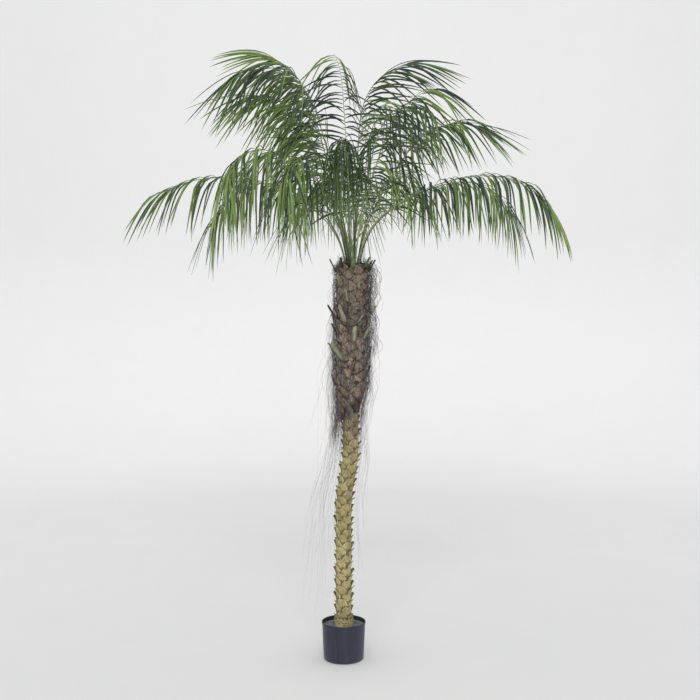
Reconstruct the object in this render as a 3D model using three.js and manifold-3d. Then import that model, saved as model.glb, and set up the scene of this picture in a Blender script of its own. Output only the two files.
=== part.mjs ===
// An artificial date palm, about 2.4 m tall, set in a plastic pot. Millimetres, +Z up.
// The origin is the centre of the pot's flat underside. +X is to the right of the front view, +Y to its back.
import * as THREE from "three";
import { mergeVertices } from "three/addons/utils/BufferGeometryUtils.js";
import Module from "manifold-3d";

const wasm = await Module();
wasm.setup();

// Room left between solids that touch.
const GAP = 0.3;

// Pot and the cement that fills it.
const POT_HEIGHT = 148;
const POT_FOOT_RADIUS = 79;
const POT_RIM_RADIUS = 87;
const POT_WALL = 2.5;
const POT_FLOOR = 4;
const POT_FOOT_ROUND = 7;
const POT_RIM_BAND = 9;
const POT_RIM_EDGE = 1.5;
const FILL_TOP = 134;
const SOCKET_DEPTH = 100;

// Moulded trunk: rows of leaf scales whose tips stand out, on a core that leans over once, to the right.
const TRUNK_TOP = 1545;
const CORE_RADIUS = 35;
const SCALE_REACH = 7;
const SCALE_PITCH = 35;
const COLLAR_RADIUS = 41;
const COLLAR_TOP = 170;
const TRUNK_SIDES = 18;
const POT_SIDES = 40;
const LEAN = 27;
const LEAN_FROM = 590;
const LEAN_TO = 830;
const LEAN_DRIFT = 7;

// Sleeve of brown leaf boots and fibre round the upper trunk.
const SLEEVE_FOOT = 880;
const SLEEVE_TOP = 1556;
const SLEEVE_BORE = 37;
const SLEEVE_FOOT_RADIUS = 46;
const SLEEVE_RADIUS = 69;
const SLEEVE_SWELL_TO = 1130;
const SLEEVE_SHOULDER = 24;
const BOOT_PITCH = 48;
const BOOT_REACH = 5;

// Crown boss that the leaf stalks stand on, and the cut stubs round it.
const BOSS_RADIUS = 36;
const BOSS_TOP = 1562;
const STUB_LENGTH = 44;
const STUB_FOOT_RADIUS = 8;
const STUB_TIP_RADIUS = 5.5;
const STUB_RING = 49;
const STUB_LEAN = 25;
const STUB_AZIMUTHS = [5, 62, 128, 178, 232, 318];

// Fronds: a stalk, then a blade folded along its rib, over the outline of its leaflets.
const STALK_HALF_WIDTH = 4.5;
const STALK_HALF_DEPTH = 3.5;
const BLADE_HALF_DEPTH = 1.2;
const BLADE_REACH = 182;
const BLADE_FOLD = 50;
const BARE_STALK = 0.15;
const FULLEST_AT = 0.42;
const TIP_HALF_WIDTH = 9;
const STALK_RISE = 80;
const STALK_SPAN = 0.25;
const BEND_SPAN = 0.45;
const LATEST_SPLIT = 0.54;
const RING_RADIUS = { upper: 10, middle: 20, lower: 30 };
const INNER_STEPS = 7;
const OUTER_STEPS = 6;

// Each frond's azimuth from +X, its rise above its upright foot, the angle it sags evenly along its length, the
// angle it bends at one place and where that is, and its length. Degrees, share of the length, millimetres.
// Their feet stand evenly round the ring of their tier, in this order.
const FRONDS = {
  upper: [
    [0, 90, 8, 87, 0.68, 1120],
    [62, 82, 15, 75, 0.7, 1020],
    [116, 87, 10, 88, 0.85, 1100],
    [175, 79, 10, 75, 0.76, 1130],
    [207, 79, 15, 105, 0.68, 1180],
    [340, 80, 20, 75, 0.69, 1000],
  ],
  middle: [
    [10, 72, 36, 62, 0.66, 1040],
    [95, 74, 50, 60, 0.6, 1000],
    [145, 74, 55, 60, 0.62, 1020],
    [190, 80, 25, 80, 0.68, 1040],
    [266, 73, 60, 75, 0.58, 950],
    [310, 80, 20, 95, 0.64, 970],
  ],
  lower: [
    [22, 55, 79, 58, 0.7, 1100],
    [55, 74, 69, 72, 0.6, 960],
    [85, 60, 81, 52, 0.6, 1020],
    [115, 63, 83, 48, 0.6, 1050],
    [150, 60, 82, 50, 0.6, 1080],
    [182, 60, 100, 10, 0.7, 1090],
    [220, 59, 56, 90, 0.65, 1000],
    [245, 66, 86, 55, 0.6, 970],
    [355, 56, 94, 44, 0.72, 1140],
  ],
};

const COLOURS = {
  pot: [0x44464e, 0.45],
  cement: [0x3f423d, 0.95],
  trunk: [0x8f8660, 0.8],
  fibre: [0x5f5246, 0.95],
  stub: [0x7d8468, 0.85],
  frond: [0x4d6a3c, 0.6],
};

const tree = new THREE.Group();
const smooth = (u) => THREE.MathUtils.smoothstep(u, 0, 1);
const radians = THREE.MathUtils.degToRad;

function place(name, geometry, finish) {
  const [color, roughness] = COLOURS[finish];
  const mesh = new THREE.Mesh(geometry, new THREE.MeshStandardMaterial({ color, roughness, metalness: 0 }));
  mesh.name = name;
  tree.add(mesh);
  return mesh;
}

// How far the trunk's axis stands from the pot's at a height.
function lean(z) {
  const drift = Math.max(0, z - LEAN_TO) / (TRUNK_TOP - LEAN_TO);
  return LEAN * smooth((z - LEAN_FROM) / (LEAN_TO - LEAN_FROM)) + LEAN_DRIFT * drift;
}

// A turned solid, upright, whose rows are shifted along X as the trunk leans.
function turned(profile, sides, shift = () => 0) {
  const geometry = new THREE.LatheGeometry(profile.map(([r, z]) => new THREE.Vector2(r, z)), sides);
  geometry.rotateX(Math.PI / 2);
  const at = geometry.attributes.position;
  for (let i = 0; i < at.count; i++) at.setX(i, at.getX(i) + shift(at.getZ(i)));
  return geometry;
}

function arcPoints(centreR, centreZ, radius, from, to, steps) {
  return Array.from({ length: steps + 1 }, (_, i) => {
    const a = radians(from + ((to - from) * i) / steps);
    return [centreR + radius * Math.cos(a), centreZ + radius * Math.sin(a)];
  });
}

function potRadius(z) {
  return POT_FOOT_RADIUS + ((POT_RIM_RADIUS - POT_RIM_EDGE - POT_FOOT_RADIUS) * z) / POT_HEIGHT;
}

function makePot() {
  const round = POT_FOOT_ROUND;
  const band = POT_HEIGHT - POT_RIM_BAND;
  place("pot", turned([
    [0, 0],
    ...arcPoints(POT_FOOT_RADIUS - round, round, round, -90, 0, 4),
    [potRadius(band), band],
    [potRadius(band) + POT_RIM_EDGE, band + POT_RIM_EDGE],
    [POT_RIM_RADIUS, POT_HEIGHT],
    [potRadius(POT_HEIGHT) - POT_WALL, POT_HEIGHT],
    [potRadius(POT_FLOOR) - POT_WALL - 1, POT_FLOOR],
    [0, POT_FLOOR],
  ], POT_SIDES), "pot");
}

// The cement is cast round the trunk's foot.
function makeFill() {
  const bottom = POT_FLOOR + GAP;
  const wall = POT_WALL + 1 + GAP;
  const socket = CORE_RADIUS + GAP;
  const floor = FILL_TOP - SOCKET_DEPTH;
  place("cement_fill", turned([
    [0, bottom],
    [potRadius(bottom) - wall, bottom],
    [potRadius(FILL_TOP) - wall, FILL_TOP],
    [socket, FILL_TOP],
    [socket, floor],
    [0, floor],
  ], POT_SIDES), "cement");
}

function makeTrunk() {
  const foot = FILL_TOP - SOCKET_DEPTH + GAP;
  const collarFoot = FILL_TOP + GAP;
  const profile = [
    [0, foot],
    [CORE_RADIUS - 1, foot],
    [CORE_RADIUS - 1, collarFoot],
    [COLLAR_RADIUS, collarFoot],
    [COLLAR_RADIUS - 1, COLLAR_TOP - 10],
    [CORE_RADIUS, COLLAR_TOP],
  ];
  for (let z = COLLAR_TOP; z + SCALE_PITCH < SLEEVE_FOOT - 8; z += SCALE_PITCH) {
    profile.push([CORE_RADIUS + SCALE_REACH, z + SCALE_PITCH * 0.85], [CORE_RADIUS, z + SCALE_PITCH]);
  }
  profile.push([CORE_RADIUS, SLEEVE_FOOT - 2], [CORE_RADIUS, TRUNK_TOP], [0, TRUNK_TOP]);
  place("trunk", turned(profile, TRUNK_SIDES, lean), "trunk");
}

// Outer radius of the sleeve between its boots.
function sleeveRadius(z) {
  const swell = smooth((z - SLEEVE_FOOT) / (SLEEVE_SWELL_TO - SLEEVE_FOOT));
  const drop = Math.max(0, z - SLEEVE_TOP + SLEEVE_SHOULDER) / SLEEVE_SHOULDER;
  return SLEEVE_FOOT_RADIUS + (SLEEVE_RADIUS - SLEEVE_FOOT_RADIUS) * swell - 9 * drop * drop;
}

function makeSleeve() {
  const profile = [[SLEEVE_BORE, SLEEVE_FOOT], [SLEEVE_FOOT_RADIUS, SLEEVE_FOOT]];
  for (let z = SLEEVE_FOOT; z + BOOT_PITCH < SLEEVE_TOP; z += BOOT_PITCH) {
    profile.push([sleeveRadius(z) + BOOT_REACH, z + BOOT_PITCH * 0.8], [sleeveRadius(z), z + BOOT_PITCH]);
  }
  profile.push([sleeveRadius(SLEEVE_TOP), SLEEVE_TOP], [SLEEVE_BORE, SLEEVE_TOP], [SLEEVE_BORE, SLEEVE_FOOT]);
  place("fibre_sleeve", turned(profile, TRUNK_SIDES, lean), "fibre");
}

function makeBoss() {
  const foot = TRUNK_TOP + GAP;
  place("crown_boss", turned([[0, foot], [BOSS_RADIUS, foot], [BOSS_RADIUS, BOSS_TOP], [0, BOSS_TOP]],
    TRUNK_SIDES, () => lean(TRUNK_TOP)), "fibre");
}

// A cut leaf stalk that stands on the sleeve's top and leans outward.
function makeStub(azimuth, number) {
  const geometry = new THREE.CylinderGeometry(STUB_TIP_RADIUS, STUB_FOOT_RADIUS, STUB_LENGTH, 6);
  geometry.rotateX(Math.PI / 2);
  geometry.translate(0, 0, STUB_LENGTH / 2);
  const at = geometry.attributes.position;
  const slope = Math.tan(radians(STUB_LEAN));
  for (let i = 0; i < at.count; i++) at.setX(i, at.getX(i) + slope * at.getZ(i));
  const stub = place(`cut_stub_${number}`, geometry, "stub");
  const turn = radians(azimuth);
  stub.rotation.z = turn;
  stub.position.set(STUB_RING * Math.cos(turn), STUB_RING * Math.sin(turn), SLEEVE_TOP + GAP);
  stub.position.x += lean(SLEEVE_TOP);
}

// The rib of a frond: a function that gives its place and pitch at a share of its length.
// The place is its height and how far it has gone out from its foot.
function ribOf([azimuth, rise, sag, bend, bendAt, length]) {
  const pieces = 60;
  const turn = radians(azimuth);
  const footRise = Math.max(STALK_RISE, rise);
  const pitchAt = (t) => {
    const upright = (footRise - rise) * (1 - smooth(t / STALK_SPAN));
    return radians(rise + upright - sag * t - bend * smooth((t - bendAt) / BEND_SPAN + 0.5));
  };
  const places = [new THREE.Vector2(0, BOSS_TOP + GAP + STALK_HALF_DEPTH * Math.cos(radians(footRise)))];
  for (let i = 0; i < pieces; i++) {
    const pitch = pitchAt((i + 0.5) / pieces);
    const step = new THREE.Vector2(Math.cos(pitch), Math.sin(pitch)).multiplyScalar(length / pieces);
    places.push(step.add(places[i]));
  }
  return (t) => {
    const k = Math.min(Math.floor(t * pieces), pieces - 1);
    const place = places[k].clone().lerp(places[k + 1], t * pieces - k);
    return { turn, pitch: pitchAt(t), radius: place.x, height: place.y };
  };
}

// Half width of the blade across its rib, measured along the slope of its fold.
function reachAt(t) {
  const rise = smooth((t - BARE_STALK) / (FULLEST_AT - BARE_STALK));
  const fall = smooth((1 - t) / (1 - FULLEST_AT));
  if (t < FULLEST_AT) return STALK_HALF_WIDTH + (BLADE_REACH - STALK_HALF_WIDTH) * rise;
  return TIP_HALF_WIDTH + (BLADE_REACH - TIP_HALF_WIDTH) * Math.pow(fall, 0.7);
}

// Part of a frond between two shares of its length, made larger all round by a margin.
function bladeGeometry(foot, rib, from, to, steps, margin = 0) {
  const outline = [[-1, -1], [0, -1], [1, -1], [1, 1], [0, 1], [-1, 1]];
  const section = new THREE.Shape(outline.map(([x, y]) => new THREE.Vector2(x, y)));
  const geometry = new THREE.ExtrudeGeometry(section, { depth: 1, steps, bevelEnabled: false });
  const at = geometry.attributes.position;
  for (let i = 0; i < at.count; i++) {
    const t = THREE.MathUtils.lerp(from, to, at.getZ(i));
    const { turn, pitch, radius, height } = rib(t);
    const leafy = smooth((t - BARE_STALK) / 0.1);
    const reach = (reachAt(t) + margin) * at.getX(i);
    const depth = THREE.MathUtils.lerp(STALK_HALF_DEPTH, BLADE_HALF_DEPTH, leafy) + margin;
    const fold = radians(BLADE_FOLD) * leafy;
    const side = reach * Math.cos(fold);
    const up = depth * at.getY(i) - Math.abs(reach) * Math.sin(fold);
    const out = radius - up * Math.sin(pitch);
    at.setXYZ(i,
      lean(TRUNK_TOP) + foot.x + out * Math.cos(turn) - side * Math.sin(turn),
      foot.y + out * Math.sin(turn) + side * Math.cos(turn),
      height + up * Math.cos(pitch));
  }
  return geometry;
}

function solidOf(geometry) {
  geometry.deleteAttribute("normal");
  geometry.deleteAttribute("uv");
  const { attributes, index } = mergeVertices(geometry);
  return new wasm.Manifold(new wasm.Mesh({
    numProp: 3,
    vertProperties: new Float32Array(attributes.position.array),
    triVerts: new Uint32Array(index.array),
  }));
}

function geometryOf(solid) {
  const { vertProperties, triVerts } = solid.getMesh();
  const geometry = new THREE.BufferGeometry();
  geometry.setAttribute("position", new THREE.BufferAttribute(vertProperties, 3));
  geometry.setIndex(new THREE.BufferAttribute(triVerts, 1));
  geometry.computeVertexNormals();
  return geometry;
}

// A blade stops where it meets one that was placed before it. What is cut off beyond is left out.
const placed = [];

function trimmed(solid) {
  let left = solid;
  for (const other of placed) {
    if (left.intersect(other).isEmpty()) continue;
    left = left.subtract(other).decompose().sort((a, b) => b.volume() - a.volume())[0];
  }
  return left;
}

// A frond is parted just before its bend, into an inner and an outer half.
function makeFrond(tier, row, number, count) {
  const turn = (2 * Math.PI * number) / count;
  const foot = new THREE.Vector2(Math.cos(turn), Math.sin(turn)).multiplyScalar(RING_RADIUS[tier]);
  const rib = ribOf(row);
  const [, , , , bendAt, length] = row;
  const split = Math.min(bendAt - 0.08, LATEST_SPLIT);
  const parting = (0.7 * GAP) / length;
  const halves = { inner: [0, split - parting, INNER_STEPS], outer: [split + parting, 1, OUTER_STEPS] };
  for (const [half, range] of Object.entries(halves)) {
    const solid = trimmed(solidOf(bladeGeometry(foot, rib, ...range)));
    place(`${tier}_frond_${number + 1}_${half}`, geometryOf(solid), "frond");
  }
  for (const range of Object.values(halves)) placed.push(solidOf(bladeGeometry(foot, rib, ...range, GAP)));
}

makePot();
makeFill();
makeTrunk();
makeSleeve();
makeBoss();
STUB_AZIMUTHS.forEach((azimuth, i) => makeStub(azimuth, i + 1));
for (const tier of Object.keys(FRONDS)) {
  FRONDS[tier].forEach((row, i) => makeFrond(tier, row, i, FRONDS[tier].length));
}

export default tree;
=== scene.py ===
import math

import bmesh
import bpy
import numpy as np
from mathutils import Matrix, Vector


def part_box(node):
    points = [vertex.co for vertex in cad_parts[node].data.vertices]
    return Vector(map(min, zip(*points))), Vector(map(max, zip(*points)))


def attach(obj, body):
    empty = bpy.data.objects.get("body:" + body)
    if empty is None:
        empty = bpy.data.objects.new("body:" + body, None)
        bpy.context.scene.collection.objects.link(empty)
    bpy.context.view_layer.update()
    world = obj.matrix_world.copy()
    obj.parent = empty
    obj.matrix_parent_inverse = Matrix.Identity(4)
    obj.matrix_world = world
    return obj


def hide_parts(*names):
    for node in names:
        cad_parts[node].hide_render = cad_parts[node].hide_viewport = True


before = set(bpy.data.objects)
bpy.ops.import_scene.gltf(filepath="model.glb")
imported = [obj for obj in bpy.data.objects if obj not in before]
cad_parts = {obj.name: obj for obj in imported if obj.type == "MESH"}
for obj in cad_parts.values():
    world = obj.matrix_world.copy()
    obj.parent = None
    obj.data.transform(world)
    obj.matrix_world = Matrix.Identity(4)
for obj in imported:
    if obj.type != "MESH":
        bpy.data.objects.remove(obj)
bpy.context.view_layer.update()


# ---- Camera: stands 3.6 m in front of the pot, at half the tree's height, and looks level.
CAMERA_PLACE = (0.025, -3.596, 1.22)
CAMERA_LENS = 46.7

camera = bpy.data.objects.new("camera", bpy.data.cameras.new("camera"))
camera.location = CAMERA_PLACE
camera.rotation_euler = (math.radians(90), 0, 0)
camera.data.sensor_width = 36
camera.data.lens = CAMERA_LENS
camera.data.clip_end = 40
bpy.context.scene.collection.objects.link(camera)
bpy.context.scene.camera = camera


# ---- Studio: a pale matt floor that sweeps up all round into a pale wall, lit evenly from every side, with
# one broad soft lamp high in front.
FLOOR_REACH = 4.2
SWEEP_RADIUS = 2.4
WALL_TOP = 9.0
FLOOR_DROP = 0.0004
AIR_STRENGTH = 0.73
LAMP_STRENGTH = 1.15
LAMP_SPREAD = 35
LAMP_TILT = 57

bpy.context.scene.view_settings.view_transform = "Standard"


def arc(centre_r, centre_z, radius, first, last, steps):
    """Points of an arc in a turned profile, between two angles in degrees."""
    turns = [math.radians(first + (last - first) * i / steps) for i in range(steps + 1)]
    return [(centre_r + radius * math.cos(a), centre_z + radius * math.sin(a)) for a in turns]


def turned(profile, steps):
    """A bmesh turned on the upright axis from a profile of (radius, height) points."""
    bm = bmesh.new()
    verts = [bm.verts.new((r, 0, z)) for r, z in profile]
    edges = [bm.edges.new(pair) for pair in zip(verts, verts[1:])]
    bmesh.ops.spin(bm, geom=verts + edges, axis=(0, 0, 1), cent=(0, 0, 0), angle=math.tau, steps=steps,
                   use_merge=True)
    bmesh.ops.remove_doubles(bm, verts=bm.verts, dist=1e-6)
    bmesh.ops.recalc_face_normals(bm, faces=bm.faces)
    return bm


def shown(name, bm, materials, crease=180.0):
    """A finished object from a bmesh, shaded smooth but for edges sharper than the crease angle."""
    mesh = bpy.data.meshes.new(name)
    bm.to_mesh(mesh)
    bm.free()
    for material in materials:
        mesh.materials.append(material)
    mesh.shade_smooth()
    mesh.set_sharp_from_angle(angle=math.radians(crease))
    piece = bpy.data.objects.new(name, mesh)
    bpy.context.scene.collection.objects.link(piece)
    return piece


def tint(red, green, blue):
    """A shader colour from the three numbers of a paint card, 0 to 255."""
    def linear(value):
        share = value / 255
        return share / 12.92 if share <= 0.04045 else ((share + 0.055) / 1.055) ** 2.4
    return (linear(red), linear(green), linear(blue), 1.0)


def make_mottle():
    """Node group: clouds of two sizes that run between two colours and give the same clouds as a height."""
    group = bpy.data.node_groups.new("mottle", "ShaderNodeTree")
    for name, kind in (("Vector", "Vector"), ("Scale", "Float"), ("First", "Color"), ("Second", "Color")):
        group.interface.new_socket(name, in_out="INPUT", socket_type=f"NodeSocket{kind}")
    for name, kind in (("Color", "Color"), ("Height", "Float")):
        group.interface.new_socket(name, in_out="OUTPUT", socket_type=f"NodeSocket{kind}")
    nodes, link = group.nodes, group.links.new
    given = nodes.new("NodeGroupInput")
    result = nodes.new("NodeGroupOutput")
    fine = nodes.new("ShaderNodeTexNoise")
    fine.inputs["Detail"].default_value = 6
    fine.inputs["Roughness"].default_value = 0.65
    broad_scale = nodes.new("ShaderNodeMath")
    broad_scale.operation = "MULTIPLY"
    broad_scale.inputs[1].default_value = 0.17
    broad = nodes.new("ShaderNodeTexNoise")
    broad.inputs["Detail"].default_value = 2
    both = nodes.new("ShaderNodeMath")
    both.operation = "MULTIPLY_ADD"
    both.inputs[1].default_value = 0.6
    spread_out = nodes.new("ShaderNodeMapRange")
    spread_out.inputs["From Min"].default_value = 0.6
    spread_out.inputs["From Max"].default_value = 1.0
    colours = nodes.new("ShaderNodeMix")
    colours.data_type = "RGBA"
    for noise_node in (fine, broad):
        link(given.outputs["Vector"], noise_node.inputs["Vector"])
    link(given.outputs["Scale"], fine.inputs["Scale"])
    link(given.outputs["Scale"], broad_scale.inputs[0])
    link(broad_scale.outputs[0], broad.inputs["Scale"])
    link(broad.outputs["Fac"], both.inputs[0])
    link(fine.outputs["Fac"], both.inputs[2])
    link(both.outputs[0], spread_out.inputs["Value"])
    link(spread_out.outputs["Result"], colours.inputs["Factor"])
    link(given.outputs["First"], colours.inputs["A"])
    link(given.outputs["Second"], colours.inputs["B"])
    link(colours.outputs["Result"], result.inputs["Color"])
    link(spread_out.outputs["Result"], result.inputs["Height"])
    return group


mottle = make_mottle()


def finish(name, first, second, scale, stretch, rough, bump, depth=0.001, specular=0.5):
    """A mottled material: two colours, clouds per metre, stretch along XYZ, roughness range and bump."""
    material = bpy.data.materials.new(name)
    material.use_nodes = True
    nodes, link = material.node_tree.nodes, material.node_tree.links.new
    shader = nodes["Principled BSDF"]
    shader.inputs["Specular IOR Level"].default_value = specular
    where = nodes.new("ShaderNodeTexCoord")
    mapping = nodes.new("ShaderNodeMapping")
    mapping.inputs["Scale"].default_value = stretch
    clouds = nodes.new("ShaderNodeGroup")
    clouds.name = "clouds"
    clouds.node_tree = mottle
    clouds.inputs["Scale"].default_value = scale
    clouds.inputs["First"].default_value = first
    clouds.inputs["Second"].default_value = second
    roughness = nodes.new("ShaderNodeMapRange")
    roughness.inputs["To Min"].default_value = rough[0]
    roughness.inputs["To Max"].default_value = rough[1]
    relief = nodes.new("ShaderNodeBump")
    relief.inputs["Strength"].default_value = bump
    relief.inputs["Distance"].default_value = depth
    link(where.outputs["Object"], mapping.inputs["Vector"])
    link(mapping.outputs["Vector"], clouds.inputs["Vector"])
    link(clouds.outputs["Height"], roughness.inputs["Value"])
    link(clouds.outputs["Height"], relief.inputs["Height"])
    link(clouds.outputs["Color"], shader.inputs["Base Color"])
    link(roughness.outputs["Result"], shader.inputs["Roughness"])
    link(relief.outputs["Normal"], shader.inputs["Normal"])
    return material


studio_profile = [(0.0, -FLOOR_DROP), (FLOOR_REACH, -FLOOR_DROP)]
studio_profile += arc(FLOOR_REACH, SWEEP_RADIUS - FLOOR_DROP, SWEEP_RADIUS, -90, 0, 16)[1:]
studio_profile += [(FLOOR_REACH + SWEEP_RADIUS, WALL_TOP)]
studio_paint = finish("studio paint", tint(231, 231, 232), tint(233, 233, 233), 3, (1, 1, 1), (0.85, 0.95), 0)
studio = shown("studio", turned(studio_profile, 128), [studio_paint])
studio.visible_diffuse = False
studio.visible_glossy = False
studio.visible_shadow = False

world = bpy.data.worlds.new("studio air")
world.use_nodes = True
world.node_tree.nodes["Background"].inputs["Color"].default_value = (1.0, 1.0, 1.0, 1.0)
world.node_tree.nodes["Background"].inputs["Strength"].default_value = AIR_STRENGTH
bpy.context.scene.world = world

lamp = bpy.data.objects.new("lamp", bpy.data.lights.new("lamp", "SUN"))
lamp.data.energy = LAMP_STRENGTH
lamp.data.angle = math.radians(LAMP_SPREAD)
lamp.rotation_euler = (math.radians(LAMP_TILT), 0, math.radians(-2))
bpy.context.scene.collection.objects.link(lamp)


# ---- Pot: a plain round nursery pot of satin charcoal plastic, blow-moulded, with a thickened rim and a
# small round at the foot. Faint pale flow marks run up and down its wall.
pot_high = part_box("pot")[1]
POT_HEIGHT = pot_high[2]
POT_RIM_RADIUS = pot_high[0]
POT_FOOT_RADIUS = 0.079
POT_WALL = 0.0025
POT_FLOOR = 0.004
POT_FOOT_ROUND = 0.007
POT_RIM_BAND = 0.009
POT_RIM_EDGE = 0.0015
POT_SIDES = 96


def pot_radius(z):
    """Outer radius of the pot's wall at a height."""
    return POT_FOOT_RADIUS + (POT_RIM_RADIUS - POT_RIM_EDGE - POT_FOOT_RADIUS) * z / POT_HEIGHT


band = POT_HEIGHT - POT_RIM_BAND
lip = (POT_WALL + POT_RIM_EDGE) / 2
pot_profile = [(0.0, 0.0)]
pot_profile += arc(POT_FOOT_RADIUS - POT_FOOT_ROUND, POT_FOOT_ROUND, POT_FOOT_ROUND, -90, 0, 6)
pot_profile += [(pot_radius(0.05), 0.05), (pot_radius(0.1), 0.1)]
pot_profile += [(pot_radius(band), band), (pot_radius(band) + POT_RIM_EDGE, band + POT_RIM_EDGE)]
pot_profile += arc(POT_RIM_RADIUS - lip, POT_HEIGHT - lip, lip, 0, 180, 8)
pot_profile += [(pot_radius(z) - POT_WALL, z) for z in (0.1, POT_FLOOR)] + [(0.0, POT_FLOOR)]

pot_plastic = finish("charcoal plastic", tint(20, 25, 38), tint(42, 49, 68), 34, (1.6, 1.6, 0.16),
                     (0.32, 0.5), 0.14, 0.0006)
pot = shown("round_pot", turned(pot_profile, POT_SIDES), [pot_plastic], 40)
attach(pot, "root")
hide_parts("pot")


# ---- Cement: poured round the trunk's foot to just below the rim, left rough, dark and gritty.
FILL_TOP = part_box("cement_fill")[1][2]
FILL_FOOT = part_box("cement_fill")[0][2]
TRUNK_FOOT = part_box("trunk")[0][2]
FILL_GAP = 0.0006
SOCKET_RADIUS = 0.0345
FILL_RINGS = 22
rng = np.random.default_rng(11)

fill_radius = pot_radius(FILL_TOP) - POT_WALL - FILL_GAP
fill_profile = [(0.0, FILL_FOOT), (pot_radius(FILL_FOOT) - POT_WALL - FILL_GAP, FILL_FOOT)]
fill_profile += [(fill_radius - (fill_radius - SOCKET_RADIUS) * i / FILL_RINGS, FILL_TOP - 0.002)
                 for i in range(FILL_RINGS + 1)]
fill_profile += [(SOCKET_RADIUS, TRUNK_FOOT), (0.0, TRUNK_FOOT)]
bm = turned(fill_profile, POT_SIDES)
for vert in bm.verts:
    if vert.co.z > FILL_TOP - 0.003:
        vert.co.z += rng.uniform(-0.0012, 0.0018)
cement_grit = finish("rough cement", tint(56, 60, 62), tint(146, 150, 150), 320, (1, 1, 1), (0.85, 1.0), 0.8,
                     0.002)
cement = shown("cement_bed", bm, [cement_grit])
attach(cement, "root")
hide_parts("cement_fill")


# ---- Lower trunk: moulded leaf scales in khaki, in eight columns of a spiral round a slim core. Each lies
# close and ends in a small dark tip turned outward. The top ones are matted grey-brown. The core leans once.
TRUNK_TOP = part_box("trunk")[1][2]
SLEEVE_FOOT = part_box("fibre_sleeve")[0][2]
LEAN = 0.027
LEAN_FROM = 0.59
LEAN_TO = 0.83
LEAN_DRIFT = 0.007
CORE_RADIUS = 0.0345
CORE_SIDES = 48
CORE_LAP = 0.15
COLLAR_RADIUS = 0.0405
COLLAR_TOP = 0.17
GOLDEN_ANGLE = math.pi * (3 - math.sqrt(5))
EIGHT_COLUMN_ANGLE = math.radians(135)
FIRST_SCALE_TURN = math.radians(292.5)
SCALE_SINK = 0.0055
SCALE_RISE = 0.00631
SCALE_WIDTH = 0.058
SCALE_HEIGHT = 0.05
SCALE_THICK = 0.002
SCALE_FLARE = 0.012
MATTED_FROM = 0.865
MATTED_SPAN = 0.055
FIRST_SCALE_FOOT = FILL_TOP - 0.0175
COLLAR_SCALE_WIDTH = SCALE_WIDTH / 1.2
COLLAR_SCALE_HEIGHT = 0.034
COLLAR_SCALE_FLARE = 0.0015
COLLAR_SCALE_RISE = SCALE_RISE / 6
COLLAR_SCALE_SINK = 0.004


def smooth(u):
    """Eases from 0 to 1."""
    u = np.clip(u, 0.0, 1.0)
    return u * u * (3 - 2 * u)


def lean(z):
    """How far the trunk's axis stands to the right of the pot's, at a height."""
    drift = np.maximum(0.0, z - LEAN_TO) / (TRUNK_TOP - LEAN_TO)
    return LEAN * smooth((z - LEAN_FROM) / (LEAN_TO - LEAN_FROM)) + LEAN_DRIFT * drift


def unpacked(bm):
    """A small shape to repeat: its vertices as an array, its faces as lists and the slot of each face."""
    bmesh.ops.recalc_face_normals(bm, faces=bm.faces)
    bm.verts.index_update()
    coords = np.array([vert.co[:] for vert in bm.verts])
    faces = [[vert.index for vert in face.verts] for face in bm.faces]
    slots = [face.material_index for face in bm.faces]
    bm.free()
    return coords, faces, slots


def joined(name, shape, copies, slots, materials, crease=180.0):
    """One piece from bent copies of a shape, with the vertices of each and the slots of its faces."""
    count = len(shape[0])
    faces = [[vert + i * count for vert in face] for i in range(len(copies)) for face in shape[1]]
    mesh = bpy.data.meshes.new(name)
    mesh.from_pydata(np.concatenate(copies), [], faces)
    for material in materials:
        mesh.materials.append(material)
    mesh.polygons.foreach_set("material_index", np.concatenate(slots))
    mesh.shade_smooth()
    mesh.set_sharp_from_angle(angle=math.radians(crease))
    piece = bpy.data.objects.new(name, mesh)
    bpy.context.scene.collection.objects.link(piece)
    return piece


def shade(piece, name, values):
    """A number for each vertex, which the material reads to place its colours on every copy of a shape."""
    layer = piece.data.attributes.new(name, "FLOAT", "POINT")
    layer.data.foreach_set("value", np.asarray(values, dtype=np.float32))


def wrapped(flat, turn, foot, radius_at, widest):
    """Wraps a flat shape (across, up, out) round the leaning trunk, narrower where the trunk is slimmer."""
    across, up, out = flat.T
    z = foot + up
    angle = turn + across / widest
    reach = radius_at(z, turn) + out
    return np.stack([lean(z) + reach * np.cos(angle), reach * np.sin(angle), z], axis=1)


def scale_shape(columns, rows, half_width, height, flare, rim, thick, shoulder, blunt, lift):
    """A leaf scale lying flat, with raised rims: it narrows above its shoulder and lifts toward its tip."""
    bm = bmesh.new()
    bmesh.ops.create_grid(bm, x_segments=columns, y_segments=rows, size=1)
    for vert in bm.verts:
        across, rise = vert.co.x, (vert.co.y + 1) / 2
        taper = 1 - (1 - blunt) * max(0.0, (rise - shoulder) / (1 - shoulder))
        vert.co.x = across * half_width * taper
        vert.co.y = rise * height
        vert.co.z = flare * (0.2 * rise + 0.8 * rise ** lift) + rim * across ** 6 * min(1, 2 * rise)
    bmesh.ops.solidify(bm, geom=bm.faces[:], thickness=thick)
    return unpacked(bm)


def spread_scales(shape, first, last, rise, first_turn, step_turn, radius_at, widest, size, rng):
    """Copies of a scale along a spiral round the trunk, each a little different."""
    copies, tones = [], []
    for i in range(int((last - first) / rise)):
        foot = first + i * rise
        flat = shape[0] * (1 + rng.uniform(-1, 1, 3) * [size, size, 0.25])
        tilt = rng.normal(0, 0.08)
        cos, sin = math.cos(tilt), math.sin(tilt)
        flat = flat @ np.array([[cos, sin, 0], [-sin, cos, 0], [0, 0, 1]])
        turn = first_turn + i * step_turn + rng.normal(0, 0.05)
        copies.append(wrapped(flat, turn, foot, radius_at, widest))
        tones.append(np.full(len(flat), rng.uniform(0, 1)))
    return copies, np.concatenate(tones)


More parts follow.
